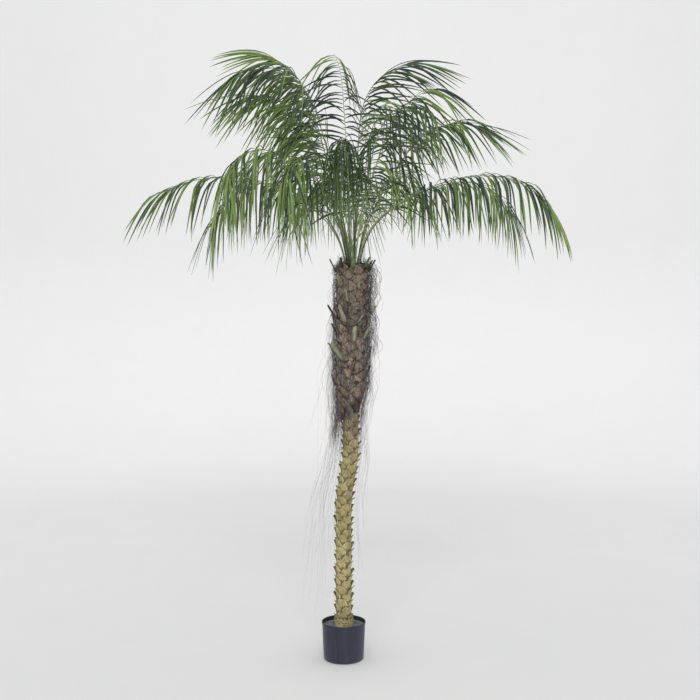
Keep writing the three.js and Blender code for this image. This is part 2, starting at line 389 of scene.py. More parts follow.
def scale_marks(shape):
    """For each vertex of a scale: how far up it is, 0 to 1, and how near the scale's edge, 0 to 1."""
    across, up = np.abs(shape[0][:, 0]), shape[0][:, 1]
    widest = np.array([across[np.abs(up - level) < 1e-6].max() for level in up])
    return up / up.max(), across / widest


def ramp_node(nodes, stops):
    """A colour ramp through a list of places and colours."""
    ramp = nodes.new("ShaderNodeValToRGB")
    for position, colour in stops[1:-1]:
        ramp.color_ramp.elements.new(position).color = colour
    ramp.color_ramp.elements[0].position, ramp.color_ramp.elements[0].color = stops[0]
    ramp.color_ramp.elements[-1].position, ramp.color_ramp.elements[-1].color = stops[-1]
    return ramp


def placed_colours(material, ramp, rim, rim_from, rim_share, tone_share):
    """Lays colours over a mottled material: a ramp up each scale, then one out to its edge, by attributes."""
    nodes, link = material.node_tree.nodes, material.node_tree.links.new
    shader, clouds = nodes["Principled BSDF"], nodes["clouds"]
    rise, edge, tone = (nodes.new("ShaderNodeAttribute") for _ in range(3))
    rise.attribute_name = "height_on_scale"
    edge.attribute_name = "edge"
    tone.attribute_name = "tone"
    colours, rims = ramp_node(nodes, ramp), ramp_node(nodes, rim)
    near_edge = nodes.new("ShaderNodeMapRange")
    near_edge.inputs["From Min"].default_value = rim_from
    near_edge.inputs["From Max"].default_value = rim_from + 0.1
    near_edge.inputs["To Max"].default_value = rim_share
    rimmed = nodes.new("ShaderNodeMix")
    rimmed.data_type = "RGBA"
    mix = nodes.new("ShaderNodeMix")
    mix.data_type = "RGBA"
    mix.blend_type = "MULTIPLY"
    mix.inputs["Factor"].default_value = 1.0
    light = nodes.new("ShaderNodeMapRange")
    light.inputs["To Min"].default_value = 1 - tone_share
    light.inputs["To Max"].default_value = 1 + tone_share
    toned = nodes.new("ShaderNodeVectorMath")
    toned.operation = "SCALE"
    link(rise.outputs["Fac"], colours.inputs["Fac"])
    link(edge.outputs["Fac"], near_edge.inputs["Value"])
    link(edge.outputs["Fac"], rims.inputs["Fac"])
    link(near_edge.outputs["Result"], rimmed.inputs["Factor"])
    link(rims.outputs["Color"], rimmed.inputs["B"])
    link(colours.outputs["Color"], rimmed.inputs["A"])
    link(rimmed.outputs["Result"], mix.inputs["A"])
    link(clouds.outputs["Color"], mix.inputs["B"])
    link(tone.outputs["Fac"], light.inputs["Value"])
    link(mix.outputs["Result"], toned.inputs[0])
    link(light.outputs["Result"], toned.inputs["Scale"])
    link(toned.outputs["Vector"], shader.inputs["Base Color"])


def core_profile(first, last, radius_at, step):
    """A closed profile up a core, with a point at every step."""
    rows = max(2, round((last - first) / step))
    heights = [first + (last - first) * i / rows for i in range(rows + 1)]
    return [(0.0, first)] + [(radius_at(z), z) for z in heights] + [(0.0, last)]


def leaning_core(profile, steps, roughness, rng):
    """A turned core that leans with the trunk and has a lumpy surface."""
    bm = turned(profile, steps)
    for vert in bm.verts:
        swell = 1 + rng.normal(0, roughness)
        vert.co.x = vert.co.x * swell + float(lean(vert.co.z))
        vert.co.y *= swell
    return bm


def trunk_radius(z):
    """Radius of the trunk's core, with its collar where it stands in the cement."""
    in_collar = FILL_TOP - 0.004 < z < COLLAR_TOP
    return COLLAR_RADIUS - 0.005 if in_collar else CORE_RADIUS - SCALE_SINK + 0.0005


rng = np.random.default_rng(23)
clear = tint(255, 255, 252)
painted_crease_shade, khaki, tip_brown = tint(172, 162, 118), tint(204, 197, 147), tint(110, 98, 72)
# Each scale's colour ramp starts with painted shade at its foot, up to about 0.3 of its height, where it
# tucks behind the scales below. The mixed and matted ramps start the same way.
khaki_ramp = [(0.0, painted_crease_shade), (0.16, painted_crease_shade), (0.3, tint(194, 186, 137)), (0.8, khaki),
              (0.9, tint(178, 168, 120)), (0.97, tip_brown)]
mixed_ramp = [(0.0, tint(140, 130, 104)), (0.16, tint(148, 138, 110)), (0.3, tint(184, 173, 140)),
              (0.86, tint(194, 183, 148)), (0.95, tint(110, 98, 82))]
matted_ramp = [(0.0, tint(140, 130, 116)), (0.16, tint(150, 140, 125)), (0.3, tint(190, 179, 160)),
               (0.88, tint(200, 188, 168)), (0.97, tint(140, 128, 112))]
matting = (tint(196, 186, 178), clear, 150, (1, 1, 0.3), (0.75, 0.95), 0.9, 0.002, 0.2)
# Each rim ramp runs from a pale raised rim to a painted shadow line along the scale's outermost edge, where
# it meets the scales around it.
khaki_rim = [(0.86, tint(226, 218, 176)), (0.97, tint(136, 126, 92))]
mixed_rim = [(0.88, tint(214, 204, 174)), (0.96, tint(136, 126, 102))]
matted_rim = [(0.88, tint(206, 196, 178)), (0.96, tint(132, 122, 108))]
khaki_skin = finish("khaki leaf scale", tint(190, 180, 158), clear, 150, (1, 1, 0.6), (0.6, 0.85), 0.8, 0.002,
                    0.3)
placed_colours(khaki_skin, khaki_ramp, khaki_rim, 0.62, 0.85, 0.06)
mixed_skin = finish("half matted leaf scale", *matting)
placed_colours(mixed_skin, mixed_ramp, mixed_rim, 0.66, 0.7, 0.12)
matted_skin = finish("matted leaf scale", *matting)
placed_colours(matted_skin, matted_ramp, matted_rim, 0.66, 0.5, 0.16)
core_skin = finish("shaded trunk core", tint(104, 95, 64), tint(130, 120, 84), 120, (1, 1, 0.4), (0.8, 0.95),
                   0.5)

trunk_profile = core_profile(TRUNK_FOOT, SLEEVE_FOOT + CORE_LAP, trunk_radius, 0.006)
trunk_core = shown("trunk_core", leaning_core(trunk_profile, CORE_SIDES, 0.008, rng), [core_skin])
leaf_scale = scale_shape(6, 4, SCALE_WIDTH / 2, SCALE_HEIGHT, SCALE_FLARE, 0.0008, SCALE_THICK, 0.5, 0.26, 5)
collar_scale = scale_shape(6, 4, COLLAR_SCALE_WIDTH / 2, COLLAR_SCALE_HEIGHT, COLLAR_SCALE_FLARE, 0.001,
                           SCALE_THICK, 0.5, 0.3, 2)
copies, tones = spread_scales(leaf_scale, FIRST_SCALE_FOOT, SLEEVE_FOOT + 0.11, SCALE_RISE, FIRST_SCALE_TURN,
                              EIGHT_COLUMN_ANGLE, lambda z, turn: CORE_RADIUS - SCALE_SINK, CORE_RADIUS, 0.06,
                              rng)
more_copies, more_tones = spread_scales(collar_scale, FILL_TOP - 0.03, COLLAR_TOP - COLLAR_SCALE_HEIGHT,
                                        COLLAR_SCALE_RISE, 0.0, GOLDEN_ANGLE,
                                        lambda z, turn: COLLAR_RADIUS - COLLAR_SCALE_SINK, CORE_RADIUS, 0.1,
                                        rng)
copies += more_copies
tones = np.concatenate([tones, more_tones])
matting_shares = [(copy[:, 2].mean() - SCALE_HEIGHT / 2 - MATTED_FROM) / MATTED_SPAN + rng.normal(0, 0.3)
                  for copy in copies]
slots = [np.full(len(leaf_scale[1]), int(np.clip(share + 1, 0, 2))) for share in matting_shares]
trunk_scales = joined("trunk_scales", leaf_scale, copies, slots, [khaki_skin, mixed_skin, matted_skin], 38)
rise, edge = scale_marks(leaf_scale)
shade(trunk_scales, "height_on_scale", np.tile(rise, len(copies)))
shade(trunk_scales, "edge", np.tile(edge, len(copies)))
shade(trunk_scales, "tone", tones)
for piece in (trunk_core, trunk_scales):
    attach(piece, "root")
    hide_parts("trunk")


# ---- Upper trunk: the trunk's leaf bases left shaggy and brown. They are wider and blunter than the scales
# below, lie in twelve columns of a spiral round a thick core, and hang lower on the left. The core closes as
# the crown's flat heart.
SLEEVE_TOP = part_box("fibre_sleeve")[1][2]
BOSS_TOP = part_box("crown_boss")[1][2]
BOSS_RADIUS = 0.035
SLEEVE_FOOT_RADIUS = 0.046
SLEEVE_SWELL = 0.023
SWELL_HEIGHT = 0.25
SHOULDER = 0.024
SHOULDER_DROP = 0.009
RIGHT_TUCK = 0.012
SKIN_DEPTH = 0.009
TWELVE_COLUMN_ANGLE = math.radians(150)
FIRST_BASE_TURN = math.radians(286)
BASE_RISE = 0.004
BASE_WIDTH = 0.074
BASE_HEIGHT = 0.06
BASE_THICK = 0.004
BASE_FLARE = 0.0075
FOOT_RISE = 0.085
MAT_TOP = 1.42
MAT_FOOT = 1.34


def sleeve_radius(z, turn):
    """How far the shaggy trunk stands out from its axis: it swells upward from a foot slim at the right."""
    drop = np.clip((z - SLEEVE_TOP + SHOULDER) / SHOULDER, 0, 1)
    tuck = RIGHT_TUCK * (1 - smooth((z - SLEEVE_FOOT - 0.09) / 0.12)) * (1 + np.cos(turn)) / 2
    swell = SLEEVE_SWELL * smooth((z - SLEEVE_FOOT) / SWELL_HEIGHT)
    return SLEEVE_FOOT_RADIUS + swell - SHOULDER_DROP * drop ** 2 - tuck


rng = np.random.default_rng(29)
# The darkest bark colour is the heart's own dark bark, and also the painted shade at the foot and edges of
# the leaf bases.
bark_brown, dark_bark_and_shade, matted = tint(118, 105, 93), tint(76, 66, 59), tint(168, 158, 150)
base_tones = {"brown": tint(200, 185, 168), "grey": tint(188, 181, 174), "olive": tint(196, 190, 164),
              "tan": tint(208, 192, 173)}
TOP_SHARES, MAT_SHARES, LOW_SHARES = (0.45, 0.05, 0.1, 0.4), (0.2, 0.7, 0.1, 0.0), (0.5, 0.28, 0.12, 0.1)
# The rim ramp ends in a painted shadow line along each leaf base's outermost edge, where it meets the bases
# around it.
base_rim = [(0.9, bark_brown), (0.96, dark_bark_and_shade)]
base_skins = []
for tone, face in base_tones.items():
    skin = finish(f"{tone} leaf base", matted, clear, 120, (1, 1, 0.4), (0.8, 0.98), 1.0, 0.003, 0.2)
    # Each leaf base's ramp starts with painted shade at its foot, up to about 0.36 of its height, where it
    # tucks behind the bases below.
    base_ramp = [(0.0, dark_bark_and_shade), (0.2, bark_brown), (0.36, face), (0.86, face), (0.98, bark_brown)]
    placed_colours(skin, base_ramp, base_rim, 0.82, 0.9, 0.16)
    base_skins.append(skin)
heart_skin = finish("bark heart", dark_bark_and_shade, tint(86, 72, 58), 160, (1, 1, 0.4), (0.9, 1.0), 1.0, 0.003, 0.2)

heart_profile = core_profile(SLEEVE_FOOT + FOOT_RISE + 0.01, SLEEVE_TOP - 0.002,
                             lambda z: float(sleeve_radius(z, 0)) - SKIN_DEPTH, 0.012)
heart_profile[-1:] = [(BOSS_RADIUS + 0.004, BOSS_TOP - 0.002), (BOSS_RADIUS, BOSS_TOP), (0.0, BOSS_TOP)]
heart_core = shown("crown_heart", leaning_core(heart_profile, CORE_SIDES, 0.012, rng), [heart_skin])
leaf_base = scale_shape(6, 5, BASE_WIDTH / 2, BASE_HEIGHT, BASE_FLARE, 0.0012, BASE_THICK, 0.55, 0.1, 4)
copies, tones = spread_scales(leaf_base, SLEEVE_FOOT + 0.044, SLEEVE_TOP - BASE_HEIGHT * 0.5, BASE_RISE,
                              FIRST_BASE_TURN, TWELVE_COLUMN_ANGLE,
                              lambda z, turn: sleeve_radius(z, turn) - SKIN_DEPTH,
                              SLEEVE_FOOT_RADIUS + SLEEVE_SWELL - SKIN_DEPTH, 0.1, rng)
tones = tones.reshape(len(copies), -1)
kept = [i for i, copy in enumerate(copies)
        if copy[:, 2].min() > SLEEVE_FOOT + FOOT_RISE + 0.9 * (copy[:, 0].mean() - LEAN)]
copies, tones = [copies[i] for i in kept], tones[kept]
copies = [copy + rng.normal(0, 0.0007, copy.shape) for copy in copies]
for copy in copies:
    copy[:, 2] -= 0.8 * np.maximum(0, copy[:, 2] - SLEEVE_TOP)
middles = [copy[:, 2].mean() for copy in copies]
shares = [TOP_SHARES if z > MAT_TOP else MAT_SHARES if z > MAT_FOOT else LOW_SHARES for z in middles]
slots = [np.full(len(leaf_base[1]), rng.choice(len(base_skins), p=share)) for share in shares]
leaf_bases = joined("leaf_bases", leaf_base, copies, slots, base_skins, 40)
rise, edge = scale_marks(leaf_base)
shade(leaf_bases, "height_on_scale", np.tile(rise, len(copies)))
shade(leaf_bases, "edge", np.tile(edge, len(copies)))
shade(leaf_bases, "tone", tones.ravel())
for piece in (heart_core, leaf_bases):
    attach(piece, "root")
    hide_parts("fibre_sleeve", "crown_boss")


# ---- Cut stubs: flattened ends of old stalks, moulded in grey-green, green, grey and brown. They stand out
# between the leaf bases at all heights, and in a ring round the crown.
STUB_LIFT = 0.002

# Each stub's azimuth, the height of its foot, its length and width, how far it leans out and to its right,
# and its paint. Degrees and metres.
STUBS = [
    (234, 1.469, 0.046, 0.02, 12, -22, "grey_green"), (256, 1.41, 0.052, 0.014, 8, -10, "grey_green"),
    (249, 1.329, 0.068, 0.017, 10, -20, "grey_green"), (276, 1.255, 0.056, 0.021, 10, 5, "grey_green"),
    (312, 1.263, 0.055, 0.014, 25, 20, "grey_green"), (240, 1.181, 0.084, 0.016, 35, -20, "grey_green"),
    (279, 0.966, 0.054, 0.021, 10, -26, "grey"), (292, 1.46, 0.034, 0.016, 5, 0, "grey_green"),
    (294, 1.333, 0.026, 0.012, 10, 30, "grey_green"), (205, 1.34, 0.062, 0.011, 32, -5, "brown"),
    (208, 1.285, 0.042, 0.010, 30, 0, "brown"), (345, 1.345, 0.058, 0.012, 32, 5, "grey_green"),
    (330, 1.12, 0.04, 0.012, 20, 10, "brown"), (186, 1.2, 0.05, 0.012, 25, -8, "grey_green"),
    (20, 1.18, 0.055, 0.013, 22, 10, "grey_green"), (40, 1.42, 0.05, 0.012, 25, -12, "brown"),
    (62, 1.27, 0.06, 0.014, 15, 15, "grey_green"), (85, 1.36, 0.05, 0.012, 20, -15, "grey_green"),
    (96, 1.1, 0.05, 0.016, 12, 20, "grey_green"), (118, 1.24, 0.062, 0.013, 18, -20, "grey_green"),
    (132, 1.44, 0.045, 0.012, 25, 5, "brown"), (150, 1.31, 0.055, 0.015, 15, 18, "grey_green"),
    (168, 1.08, 0.045, 0.012, 20, -10, "brown"), (110, 0.99, 0.055, 0.016, 12, 15, "grey_green"),
    (5, 1.535, 0.046, 0.012, 30, 0, "brown"), (62, 1.535, 0.044, 0.011, 25, 5, "green"),
    (128, 1.535, 0.044, 0.011, 25, -5, "brown"), (178, 1.535, 0.046, 0.011, 26, 0, "green"),
    (232, 1.54, 0.04, 0.012, 12, 0, "brown"), (318, 1.54, 0.046, 0.011, 24, 10, "green"),
    (272, 1.541, 0.036, 0.02, 4, 4, "green"), (340, 1.54, 0.035, 0.010, 30, -10, "brown"),
]
STUB_PAINTS = {
    "grey_green": (tint(116, 119, 96), tint(160, 161, 136)),
    "brown": (tint(52, 44, 38), tint(78, 68, 58)),
    "green": (tint(72, 98, 62), tint(110, 136, 92)),
    "grey": (tint(94, 98, 88), tint(132, 134, 120)),
}


def stub_shape():
    """A flattened stalk end one high and one in half width, curled a little and cut off at the top."""
    bm = bmesh.new()
    bmesh.ops.create_grid(bm, x_segments=4, y_segments=5, size=1)
    for vert in bm.verts:
        across, rise = vert.co.x, (vert.co.y + 1) / 2
        vert.co.x = across * (1 - 0.3 * rise)
        vert.co.y = rise + 0.06 * across * rise
        vert.co.z = -0.35 * across ** 2
    bmesh.ops.solidify(bm, geom=bm.faces[:], thickness=0.75)
    bmesh.ops.recalc_face_normals(bm, faces=bm.faces)
    for face in bm.faces:
        if face.normal.y > 0.7:
            face.material_index = 1
    return unpacked(bm)


def tilted(out, up, angle):
    """Turns two of a shape's measures so that up leans toward out."""
    cos, sin = np.cos(angle), np.sin(angle)
    return out * cos + up * sin, up * cos - out * sin


stub = stub_shape()
stub_paints = [finish(f"{name} stub", *colours, 110, (1, 1, 0.3), (0.6, 0.85), 0.5, 0.001, 0.3)
               for name, colours in STUB_PAINTS.items()]
cut_paint = finish("cut face", tint(176, 172, 150), tint(214, 210, 192), 200, (1, 1, 1), (0.8, 0.95), 0.3)
stub_paints.append(cut_paint)
copies, slots = [], []
for azimuth, foot, length, width, out_lean, side_lean, paint in STUBS:
    turn, out_lean, side_lean = np.radians([azimuth, out_lean, side_lean])
    across, up, out = (stub[0] * [width / 2, length, width / 2]).T
    out, up = tilted(out, up, out_lean)
    across, up = tilted(across, up, side_lean)
    reach = sleeve_radius(foot, turn) + STUB_LIFT + out
    z = foot + up
    copies.append(np.stack([lean(foot) + reach * np.cos(turn) - across * np.sin(turn),
                            reach * np.sin(turn) + across * np.cos(turn), z], axis=1))
    skin = list(STUB_PAINTS).index(paint)
    slots.append([len(STUB_PAINTS) if slot and paint == "grey_green" else skin for slot in stub[2]])
cut_stubs = joined("cut_stubs", stub, copies, slots, stub_paints, 40)
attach(cut_stubs, "root")
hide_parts(*[f"cut_stub_{i + 1}" for i in range(6)])


# ---- Trunk fibre: dark strands of coir netting, pulled out of the trunk. They cross over the leaf bases,
# stand off at the sides in loops, fringe the foot, hang in a clump at the left and trail down below it.
STRAND_SIDES = 3
STRAND_RINGS = 14
FUZZ_RINGS = 5
STRAND_RADIUS = 0.0004
NET_RADIUS = 0.0007
WAVE_HEIGHT = 0.005
WAVE_ANGLE = 0.11
CROWN_CLUMPS = (5, 30, 75, 120, 165, 195, 225, 248, 292, 312, 340)
rng = np.random.default_rng(31)


def bar_shape(sides, rings):
    """A straight bar one long and one in radius, with closed ends."""
    bm = bmesh.new()
    bmesh.ops.create_circle(bm, cap_ends=True, radius=1, segments=sides)
    end = bm.faces[:]
    for _ in range(rings):
        moved = bmesh.ops.extrude_face_region(bm, geom=end)["geom"]
        end = [item for item in moved if isinstance(item, bmesh.types.BMFace)]
        bmesh.ops.translate(bm, verts=end[0].verts[:], vec=(0, 0, 1 / rings))
    return unpacked(bm)


def unit(vectors):
    """The same directions, one long."""
    return vectors / np.maximum(np.linalg.norm(vectors, axis=-1, keepdims=True), 1e-9)


def waves(count, steps):
    """Smooth random curves, one a row, that wander about zero."""
    turns = math.pi * np.linspace(0, 1, steps)
    return sum(rng.normal(0, 1 / k, (count, 1)) * np.sin(k * turns + rng.uniform(0, math.tau, (count, 1)))
               for k in (1, 2, 3, 5))


def strands(bar, first, last, turns, sweep, off, radius):
    """Strands that run from one height to another round the trunk, off its surface, thinner at their ends."""
    count, steps = off.shape
    share = np.linspace(0, 1, steps)
    z = first[:, None] + (last - first)[:, None] * share + WAVE_HEIGHT * waves(count, steps)
    angle = turns[:, None] + sweep[:, None] * share + WAVE_ANGLE * waves(count, steps)
    reach = sleeve_radius(z, angle) + off
    paths = np.stack([lean(z) + reach * np.cos(angle), reach * np.sin(angle), z], axis=2)
    outward = np.stack([np.cos(angle), np.sin(angle), np.zeros(z.shape)], axis=2)
    ahead = unit(np.gradient(paths, axis=1))
    side = unit(np.cross(ahead, outward))
    over = np.cross(side, ahead)
    across, deep, along = bar[0].T
    ring = np.rint(along * (steps - 1)).astype(int)
    width = radius[:, None, None] * (1 - 0.5 * along)[None, :, None]
    rounds = across[None, :, None] * side[:, ring] + deep[None, :, None] * over[:, ring]
    return paths[:, ring] + width * rounds


def spread(count, low, high):
    """Evenly random numbers."""
    return rng.uniform(low, high, count)


steps = STRAND_RINGS + 1
share = np.linspace(0, 1, steps)
arch = np.sin(math.pi * share)
strand_bar = bar_shape(STRAND_SIDES, STRAND_RINGS)
copies = []

# A net that lies on the leaf bases, closest in the matted band.
count = 260
first = np.where(spread(count, 0, 1) < 0.45, spread(count, MAT_FOOT, MAT_TOP),
                 spread(count, SLEEVE_FOOT + 0.1, SLEEVE_TOP - 0.01))
last = np.clip(first + rng.normal(0, 0.13, count), SLEEVE_FOOT + 0.08, SLEEVE_TOP - 0.005)
copies += list(strands(strand_bar, first, last, spread(count, 0, math.tau), rng.normal(0, 1.0, count),
                       0.0045 + 0.0025 * waves(count, steps), NET_RADIUS * spread(count, 0.6, 1.3)))

# Fine hair that bulges out all round.
count = 680
first = SLEEVE_TOP - 0.005 - (SLEEVE_TOP - SLEEVE_FOOT - 0.1) * spread(count, 0, 1)
bulge = np.minimum(rng.exponential(0.016, count), 0.042)
copies += list(strands(strand_bar, first, first - spread(count, 0.04, 0.26), spread(count, 0, math.tau),
                       rng.normal(0, 0.4, count), bulge[:, None] * arch + 0.007 * waves(count, steps),
                       STRAND_RADIUS * spread(count, 0.6, 1.3)))

# Long hair that trails far down at the left.
count = 48
first = spread(count, SLEEVE_FOOT, SLEEVE_TOP - 0.25)
copies += list(strands(strand_bar, first, np.maximum(first - spread(count, 0.35, 0.9), 0.22),
                       np.radians(rng.normal(190, 36, count)), rng.normal(0, 0.3, count),
                       spread(count, 0.02, 0.12)[:, None] * share ** 0.8 + 0.013 * waves(count, steps),
                       STRAND_RADIUS * spread(count, 0.5, 0.8)))

# Shorter hair that trails all round.
count = 90
first = spread(count, SLEEVE_FOOT + 0.05, SLEEVE_TOP - 0.2)
last = np.maximum(first - spread(count, 0.2, 0.75), 0.3)
copies += list(strands(strand_bar, first, last, spread(count, 0, math.tau), rng.normal(0, 0.3, count),
                       spread(count, 0.005, 0.06)[:, None] * share ** 0.5 + 0.008 * waves(count, steps),
                       STRAND_RADIUS * spread(count, 0.5, 0.9)))

# A clump at the left of the foot.
count = 60
first = spread(count, SLEEVE_FOOT + 0.06, SLEEVE_FOOT + 0.13)
copies += list(strands(strand_bar, first, spread(count, SLEEVE_FOOT - 0.05, SLEEVE_FOOT + 0.02),
                       np.radians(rng.normal(185, 9, count)), rng.normal(0, 0.25, count),
                       spread(count, 0.012, 0.036)[:, None] * share + 0.011 * waves(count, steps),
                       NET_RADIUS * spread(count, 0.4, 1.1)))

# Loose loops at the right, most of them near the top.
count = 110
first = SLEEVE_TOP + 0.015 - 0.3 * spread(count, 0, 1) ** 2
last = first - spread(count, 0.06, 0.2)
turns = np.radians(rng.normal(-5, 22, count))
copies += list(strands(strand_bar, first, last, turns, rng.normal(0, 0.3, count),
                       spread(count, 0.006, 0.042)[:, None] * arch + 0.009 * waves(count, steps),
                       NET_RADIUS * spread(count, 0.6, 1.4)))

# A fringe along the foot.
count = 50
first = spread(count, SLEEVE_FOOT + 0.09, SLEEVE_FOOT + 0.15)
last = first - spread(count, 0.03, 0.07)
turns = np.radians(rng.normal(200, 55, count))
copies += list(strands(strand_bar, first, last, turns, rng.normal(0, 0.4, count),
                       -0.002 + 0.004 * waves(count, steps), NET_RADIUS * spread(count, 0.4, 1.0)))

# A tangle along the rim of the crown's heart.
count = 130
first = spread(count, SLEEVE_TOP - 0.03, SLEEVE_TOP)
copies += list(strands(strand_bar, first, first + rng.normal(0.006, 0.016, count), spread(count, 0, math.tau),
                       rng.normal(0, 0.5, count), spread(count, -0.006, 0.016)[:, None] * arch
                       + 0.004 * waves(count, steps), NET_RADIUS * spread(count, 0.5, 1.4)))

# Tufts that stand up round the crown's heart.
count = 150
clump = rng.choice(CROWN_CLUMPS, count)
first = spread(count, SLEEVE_TOP - 0.02, SLEEVE_TOP)
last = first + spread(count, 0.015, 0.05)
turns = np.radians(clump + rng.normal(0, 7, count))
copies += list(strands(strand_bar, first, last, turns, rng.normal(0, 0.3, count),
                       -spread(count, 0.0, 0.03)[:, None] + 0.004 * waves(count, steps),
                       NET_RADIUS * spread(count, 0.6, 1.5)))

fibre_paints = [finish(f"{name} coir", first, second, 300, (1, 1, 1), (0.8, 0.95), 0.2, 0.0003, 0.2)
                for name, first, second in (("dark", tint(56, 49, 46), tint(78, 69, 64)),
                                            ("brown", tint(112, 97, 82), tint(138, 122, 104)),
                                            ("grey", tint(116, 110, 117), tint(144, 137, 144)))]
slots = [np.full(len(strand_bar[1]), slot) for slot in rng.choice(3, len(copies), p=(0.4, 0.25, 0.35))]
trunk_fibre = joined("trunk_fibre", strand_bar, copies, slots, fibre_paints)

# Short fuzz all over.
steps = FUZZ_RINGS + 1
count = 1300
fuzz_bar = bar_shape(STRAND_SIDES, FUZZ_RINGS)
first = spread(count, SLEEVE_FOOT + 0.09, SLEEVE_TOP - 0.004)
copies = strands(fuzz_bar, first, first + rng.normal(0, 0.014, count), spread(count, 0, math.tau),
                 rng.normal(0, 0.22, count), 0.003 + 0.003 * waves(count, steps),
                 STRAND_RADIUS * spread(count, 0.8, 1.6))
slots = [np.full(len(fuzz_bar[1]), slot) for slot in rng.choice(3, count, p=(0.4, 0.35, 0.25))]
trunk_fuzz = joined("trunk_fuzz", fuzz_bar, list(copies), slots, fibre_paints)
for piece in (trunk_fibre, trunk_fuzz):
    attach(piece, "root")
    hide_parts("fibre_sleeve")


# ---- Frond stalks and ribs: green plastic moulded over wire, bare and stout at the foot, where they stand
# close together on the crown, and as thin as a needle at the end. They rise, sag and then bend over.
STALK_HALF_WIDTH = 0.004
STALK_HALF_DEPTH = 0.0032
RIB_TIP_HALF_WIDTH = 0.0007
END_REACH = 0.2
RIB_SIDES = 8
RIB_RINGS = 30
STALK_RISE = 80
STALK_SPAN = 0.25
BEND_SPAN = 0.45
TABLE_STEPS = 60
FOOT_GAP = 0.0003
UP = np.array([0.0, 0.0, 1.0])
RING_RADIUS = {"upper": 0.010, "middle": 0.020, "lower": 0.030}

# Each frond's azimuth from +X, its rise above its upright foot, the angle it sags evenly along its length,
# the angle it bends at one place and where that is, and its length. Degrees, share of the length, metres.
# Then its leaflets: their length and pitch along the rib in metres, their angles from the rib at its foot and
# its end, how far they stand up from the sides of the rib, or fall to its underside, how far they hang in the
# middle and at the end, the shares of them that are dark, pale and, at the end, pale, and their end twist.
FRONDS = {
    "upper": [
        (0, 90, 8, 87, 0.68, 1.12, 0.26, 0.022, 58, 16, -45, 0.35, 0.25, 0.75, 0.08, 0.1, 0),
        (62, 82, 15, 75, 0.7, 1.02, 0.24, 0.034, 60, 16, -40, 0.4, 0.3, 0.5, 0.2, 0.2, 0),
        (116, 87, 10, 88, 0.85, 1.1, 0.24, 0.018, 60, 70, -40, 0.45, 0.68, 0.95, 0.0, 1.0, 0.9),
        (175, 79, 10, 75, 0.76, 1.13, 0.29, 0.017, 58, 11, -45, 0.55, 0.22, 0.4, 0.35, 0.5, 0),
        (207, 79, 15, 105, 0.68, 1.18, 0.32, 0.016, 58, 20, -15, 0.55, 0.36, 0.7, 0.15, 0.0, 0),
        (340, 80, 20, 75, 0.69, 1.0, 0.27, 0.025, 58, 18, -40, 0.5, 0.35, 0.6, 0.2, 0.2, 0),
    ],
    "middle": [
        (10, 72, 36, 62, 0.66, 1.04, 0.28, 0.015, 56, 14, 20, 0.6, 0.3, 0.4, 0.35, 0.3, 0.3),
        (95, 74, 50, 60, 0.6, 1.0, 0.25, 0.034, 60, 16, -10, 0.6, 0.4, 0.4, 0.3, 0.3, 0),
        (145, 74, 55, 60, 0.62, 1.02, 0.26, 0.022, 60, 16, -10, 0.6, 0.4, 0.3, 0.4, 0.4, 0),
        (190, 80, 25, 80, 0.68, 1.04, 0.28, 0.015, 58, 18, -25, 0.55, 0.3, 0.1, 0.65, 0.75, 0),
        (266, 73, 60, 75, 0.58, 0.95, 0.29, 0.010, 40, 7, 10, 0.87, 0.82, 0.9, 0.03, 0.0, 0.35),
        (310, 80, 20, 95, 0.64, 0.97, 0.29, 0.017, 60, 20, 0, 0.85, 0.85, 0.85, 0.05, 0.0, 0),
    ],
    "lower": [
        (22, 55, 79, 58, 0.7, 1.1, 0.28, 0.018, 62, 20, 15, 0.86, 0.5, 0.3, 0.4, 0.4, 0),
        (55, 74, 69, 72, 0.6, 0.96, 0.25, 0.016, 62, 20, 10, 0.7, 0.4, 0.1, 0.7, 0.7, 0),
        (85, 60, 81, 52, 0.6, 1.02, 0.25, 0.028, 62, 20, 20, 0.7, 0.4, 0.3, 0.4, 0.4, 0),
        (115, 63, 83, 48, 0.6, 1.05, 0.28, 0.020, 62, 20, 20, 0.88, 0.5, 0.2, 0.6, 0.6, 0),
        (150, 60, 82, 50, 0.6, 1.08, 0.30, 0.020, 62, 20, 20, 0.9, 0.55, 0.25, 0.5, 0.6, 0),
        (182, 60, 100, 10, 0.7, 1.09, 0.28, 0.028, 62, 14, 45, 0.85, 0.4, 0.45, 0.35, 0.2, 0),
        (220, 59, 56, 90, 0.65, 1.0, 0.30, 0.020, 62, 18, 20, 0.9, 0.55, 0.4, 0.45, 0.8, 0),
        (245, 66, 86, 55, 0.6, 0.97, 0.29, 0.020, 62, 20, 20, 0.9, 0.5, 0.55, 0.3, 0.3, 0),
        (355, 56, 94, 44, 0.72, 1.14, 0.265, 0.020, 66, 16, 45, 0.86, 0.4, 0.6, 0.15, 0.15, 0),
    ],
}


def rib_of(azimuth, rise, sag, bend, bend_at, length, foot):
    """A frond's rib: gives the places, tangents and upward normals at shares of its length, and its side."""
    turn = math.radians(azimuth)
    ahead = np.array([math.cos(turn), math.sin(turn), 0.0])
    side = np.array([-math.sin(turn), math.cos(turn), 0.0])

    def pitch(t):
        upright = max(0, STALK_RISE - rise) * (1 - smooth(t / STALK_SPAN))
        return np.radians(rise + upright - sag * t - bend * smooth((t - bend_at) / BEND_SPAN + 0.5))

    shares = np.linspace(0, 1, TABLE_STEPS + 1)
    middles = pitch((shares[1:] + shares[:-1]) / 2)
    out = np.append(0, np.cumsum(np.cos(middles))) * length / TABLE_STEPS
    up = np.append(0, np.cumsum(np.sin(middles))) * length / TABLE_STEPS

    def at(t):
        angle = pitch(t)[:, None]
        places = foot + np.interp(t, shares, out)[:, None] * ahead + np.interp(t, shares, up)[:, None] * UP
        tangents = np.cos(angle) * ahead + np.sin(angle) * UP
        normals = np.cos(angle) * UP - np.sin(angle) * ahead
        return places, tangents, normals, side
    return at


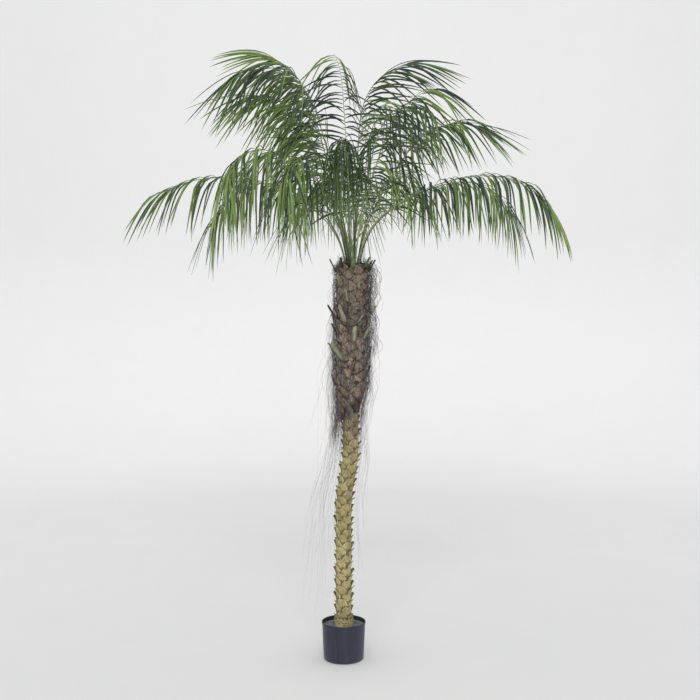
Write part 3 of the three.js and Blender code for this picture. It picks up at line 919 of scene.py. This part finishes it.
def ribs_of(tier):
    """The ribs of a tier's fronds, whose feet stand evenly round its ring on the crown."""
    ribs = []
    for i, row in enumerate(FRONDS[tier]):
        turn = math.tau * i / len(FRONDS[tier])
        depth = STALK_HALF_DEPTH * math.cos(math.radians(max(STALK_RISE, row[1])))
        foot = np.array([float(lean(TRUNK_TOP)) + RING_RADIUS[tier] * math.cos(turn),
                         RING_RADIUS[tier] * math.sin(turn), BOSS_TOP + FOOT_GAP + depth])
        ribs.append(rib_of(*row[:6], foot))
    return ribs


rib_bar = bar_shape(RIB_SIDES, RIB_RINGS)
rib_paints = [finish(f"{name} rib", *colours, 60, (1, 1, 1), (0.42, 0.6), 0.15, 0.0004)
              for name, colours in (("deep", (tint(74, 92, 62), tint(104, 120, 82))),
                                    ("green", (tint(96, 116, 76), tint(134, 148, 104))),
                                    ("pale", (tint(132, 148, 100), tint(168, 178, 136))))]
ribs = {tier: ribs_of(tier) for tier in FRONDS}
for tier in FRONDS:
    copies = []
    for rib, row in zip(ribs[tier], FRONDS[tier]):
        across, deep, share = rib_bar[0].T
        length = row[5]
        places, tangents, normals, side = rib(np.clip(share, 0, 1) * (1 - END_REACH / length))
        thin = np.clip(1 - share, 0, 1) ** 1.1
        width = RIB_TIP_HALF_WIDTH + (STALK_HALF_WIDTH - RIB_TIP_HALF_WIDTH) * thin
        depth = RIB_TIP_HALF_WIDTH + (STALK_HALF_DEPTH - RIB_TIP_HALF_WIDTH) * thin
        copies.append(places + (across * width)[:, None] * side + (deep * depth)[:, None] * normals)
    slots = [np.full(len(rib_bar[1]), i % len(rib_paints)) for i in range(len(copies))]
    piece = joined(f"{tier}_ribs", rib_bar, copies, slots, rib_paints, 50)
    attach(piece, "root")
    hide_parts(*[f"{tier}_frond_{i + 1}_inner" for i in range(len(copies))])


# ---- Leaflets: pointed strips of moulded green plastic, wired to both sides of each rib. Each is creased
# along its middle, darker above than below, stands out from the rib and hangs over under its own weight.
LEAF_HALF_WIDTH = 0.0041
LEAF_THICK = 0.0005
LEAF_FOLD = 0.45
LEAF_STATIONS = 9
LEAF_BEND = 0.6
LEAF_SWAY = 0.15
ANGLE_SPREAD, HANG_SPREAD, TWIST_SPREAD, LENGTH_SPREAD, WIDTH_SPREAD = 8, 0.09, 0.25, 0.05, 0.08
BARE_SHARE = {"upper": 0.33, "middle": 0.26, "lower": 0.2}
TONES = {
    "deep": (tint(38, 56, 46), tint(64, 84, 56)),
    "dark": (tint(52, 74, 50), tint(90, 114, 62)),
    "mid": (tint(74, 100, 54), tint(116, 142, 72)),
    "pale": (tint(112, 138, 68), tint(144, 168, 94)),
}
rng = np.random.default_rng(37)


def leaf_shape():
    """A leaflet lying flat, one long and two wide: an upper and an under side that meet along its edges."""
    bm = bmesh.new()
    bmesh.ops.create_grid(bm, x_segments=2, y_segments=LEAF_STATIONS - 1, size=1)
    bmesh.ops.translate(bm, verts=bm.verts, vec=(0, 1, 0))
    bmesh.ops.scale(bm, verts=bm.verts, vec=(1, 0.5, 1))
    under = bmesh.ops.duplicate(bm, geom=bm.verts[:] + bm.edges[:] + bm.faces[:])["geom"]
    for item in under:
        if isinstance(item, bmesh.types.BMFace):
            item.material_index = 1
        elif isinstance(item, bmesh.types.BMVert) and abs(item.co.x) < 0.5:
            item.co.z = -1
    for vert in bm.verts:
        if vert.co.y > 0.999:
            vert.co.x = vert.co.z = 0
    bmesh.ops.remove_doubles(bm, verts=bm.verts, dist=1e-5)
    bmesh.ops.holes_fill(bm, edges=[edge for edge in bm.edges if edge.is_boundary])
    return unpacked(bm)


def leaflets(leaf, roots, out, turning, along, lengths, droop, twist, width):
    """Bends copies of the leaflet: each leaves its root one way, turns on with the rib and leans downward."""
    stations = np.unique(leaf[0][:, 1])
    share = stations[None, :, None]
    hang = np.clip(droop[:, None, None] * (1 - (1 - np.minimum(share / LEAF_BEND, 1)) ** 2), 0, 0.97)
    ways = unit((out[:, None, :] + turning[:, None, :] * share) * (1 - hang) - UP * hang)
    steps = (ways[:, 1:] + ways[:, :-1]) / 2 * np.diff(stations)[None, :, None] * lengths[:, None, None]
    start = np.zeros((len(roots), 1, 3))
    spine = roots[:, None, :] + np.concatenate([start, np.cumsum(steps, axis=1)], axis=1)
    across = unit(along[:, None, :] - np.sum(along[:, None, :] * ways, axis=2, keepdims=True) * ways)
    face = np.cross(across, ways)
    turn = twist[:, None, None] * (0.4 + 0.6 * share)
    across, face = across * np.cos(turn) + face * np.sin(turn), face * np.cos(turn) - across * np.sin(turn)
    reach = width[:, None, None] * np.minimum(0.3 + 3.2 * share, 1) * (1 - share ** 2.4) ** 0.8
    station = np.searchsorted(stations, leaf[0][:, 1] - 1e-6)
    beside = leaf[0][None, :, 0, None]
    below = leaf[0][None, :, 2, None]
    fold = np.abs(beside) * reach[:, station] * LEAF_FOLD + below * LEAF_THICK
    return spine[:, station] + beside * reach[:, station] * across[:, station] + fold * face[:, station]


def leaf_paint(name, colour):
    """Moulded green plastic of one even colour, satin and faintly ribbed."""
    paint = finish(name, colour, colour, 55, (1, 1, 1), (0.34, 0.5), 0.2, 0.0004)
    shader = paint.node_tree.nodes["Principled BSDF"]
    paint.node_tree.links.remove(shader.inputs["Base Color"].links[0])
    shader.inputs["Base Color"].default_value = colour
    return paint


leaf = leaf_shape()
leaf_paints = [leaf_paint(f"{tone} leaflet {where}", TONES[tone][k])
               for tone in TONES for k, where in enumerate(("face", "underside"))]
for tier in FRONDS:
    copies, slots = [], []
    for rib, row in zip(ribs[tier], FRONDS[tier]):
        length, pitch, wide, narrow, lift, droop, end_droop, dark, pale, end_pale, end_twist = row[6:]
        bare = BARE_SHARE[tier]
        leafy = 1 - END_REACH / row[5] - bare
        count = int(row[5] * leafy / pitch)
        for sign in (-1, 1):
            u = (np.arange(count) + 0.25 * (sign + 1) + rng.uniform(-0.15, 0.15, count)) / count
            u = np.clip(u, 0, 1) ** 0.8
            places, tangents, normals, side = rib(bare + leafy * u)
            angle = np.radians(wide + (narrow - wide) * u ** 1.4 + rng.normal(0, ANGLE_SPREAD, count))
            raised = np.radians(lift * (1 - 0.5 * u) + rng.normal(0, ANGLE_SPREAD, count))
            angle, raised = angle[:, None], raised[:, None]
            out = np.cos(angle) * tangents
            out += np.sin(angle) * (sign * np.cos(raised) * side + np.sin(raised) * normals)
            out = unit(out + rng.normal(0, LEAF_SWAY, (count, 3)))
            lengths = length * (0.5 + 0.5 * smooth(u / 0.22)) * (1 - 0.08 * smooth((u - 0.6) / 0.4))
            lengths *= rng.normal(1, LENGTH_SPREAD, count)
            turning = np.cos(angle) * (rib(np.minimum(bare + leafy * u + lengths / row[5], 1))[1] - tangents)
            hang = droop * (0.4 + 0.6 * smooth(u / 0.3)) + (end_droop - droop) * smooth((u - 0.6) / 0.4)
            hang = np.clip(hang + rng.normal(0, HANG_SPREAD, count), 0, 1)
            twist = rng.normal(0, TWIST_SPREAD, count) + end_twist * smooth((u - 0.75) / 0.2)
            copies.extend(leaflets(leaf, places, out, turning, sign * tangents, lengths, hang, twist,
                                   LEAF_HALF_WIDTH * rng.normal(1, WIDTH_SPREAD, count)))
            light = pale + (end_pale - pale) * smooth((u - 0.75) / 0.2)
            deep = dark * (1 - light) / (1 - pale)
            for pick, first, last in zip(rng.uniform(0, 1, count), deep, 1 - light):
                tone = int(rng.integers(0, 2)) if pick < first else 3 if pick > last else 2
                slots.append([2 * tone + slot for slot in leaf[2]])
    piece = joined(f"{tier}_leaflets", leaf, copies, slots, leaf_paints, 35)
    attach(piece, "root")
    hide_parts(*[f"{tier}_frond_{i + 1}_outer" for i in range(len(FRONDS[tier]))])
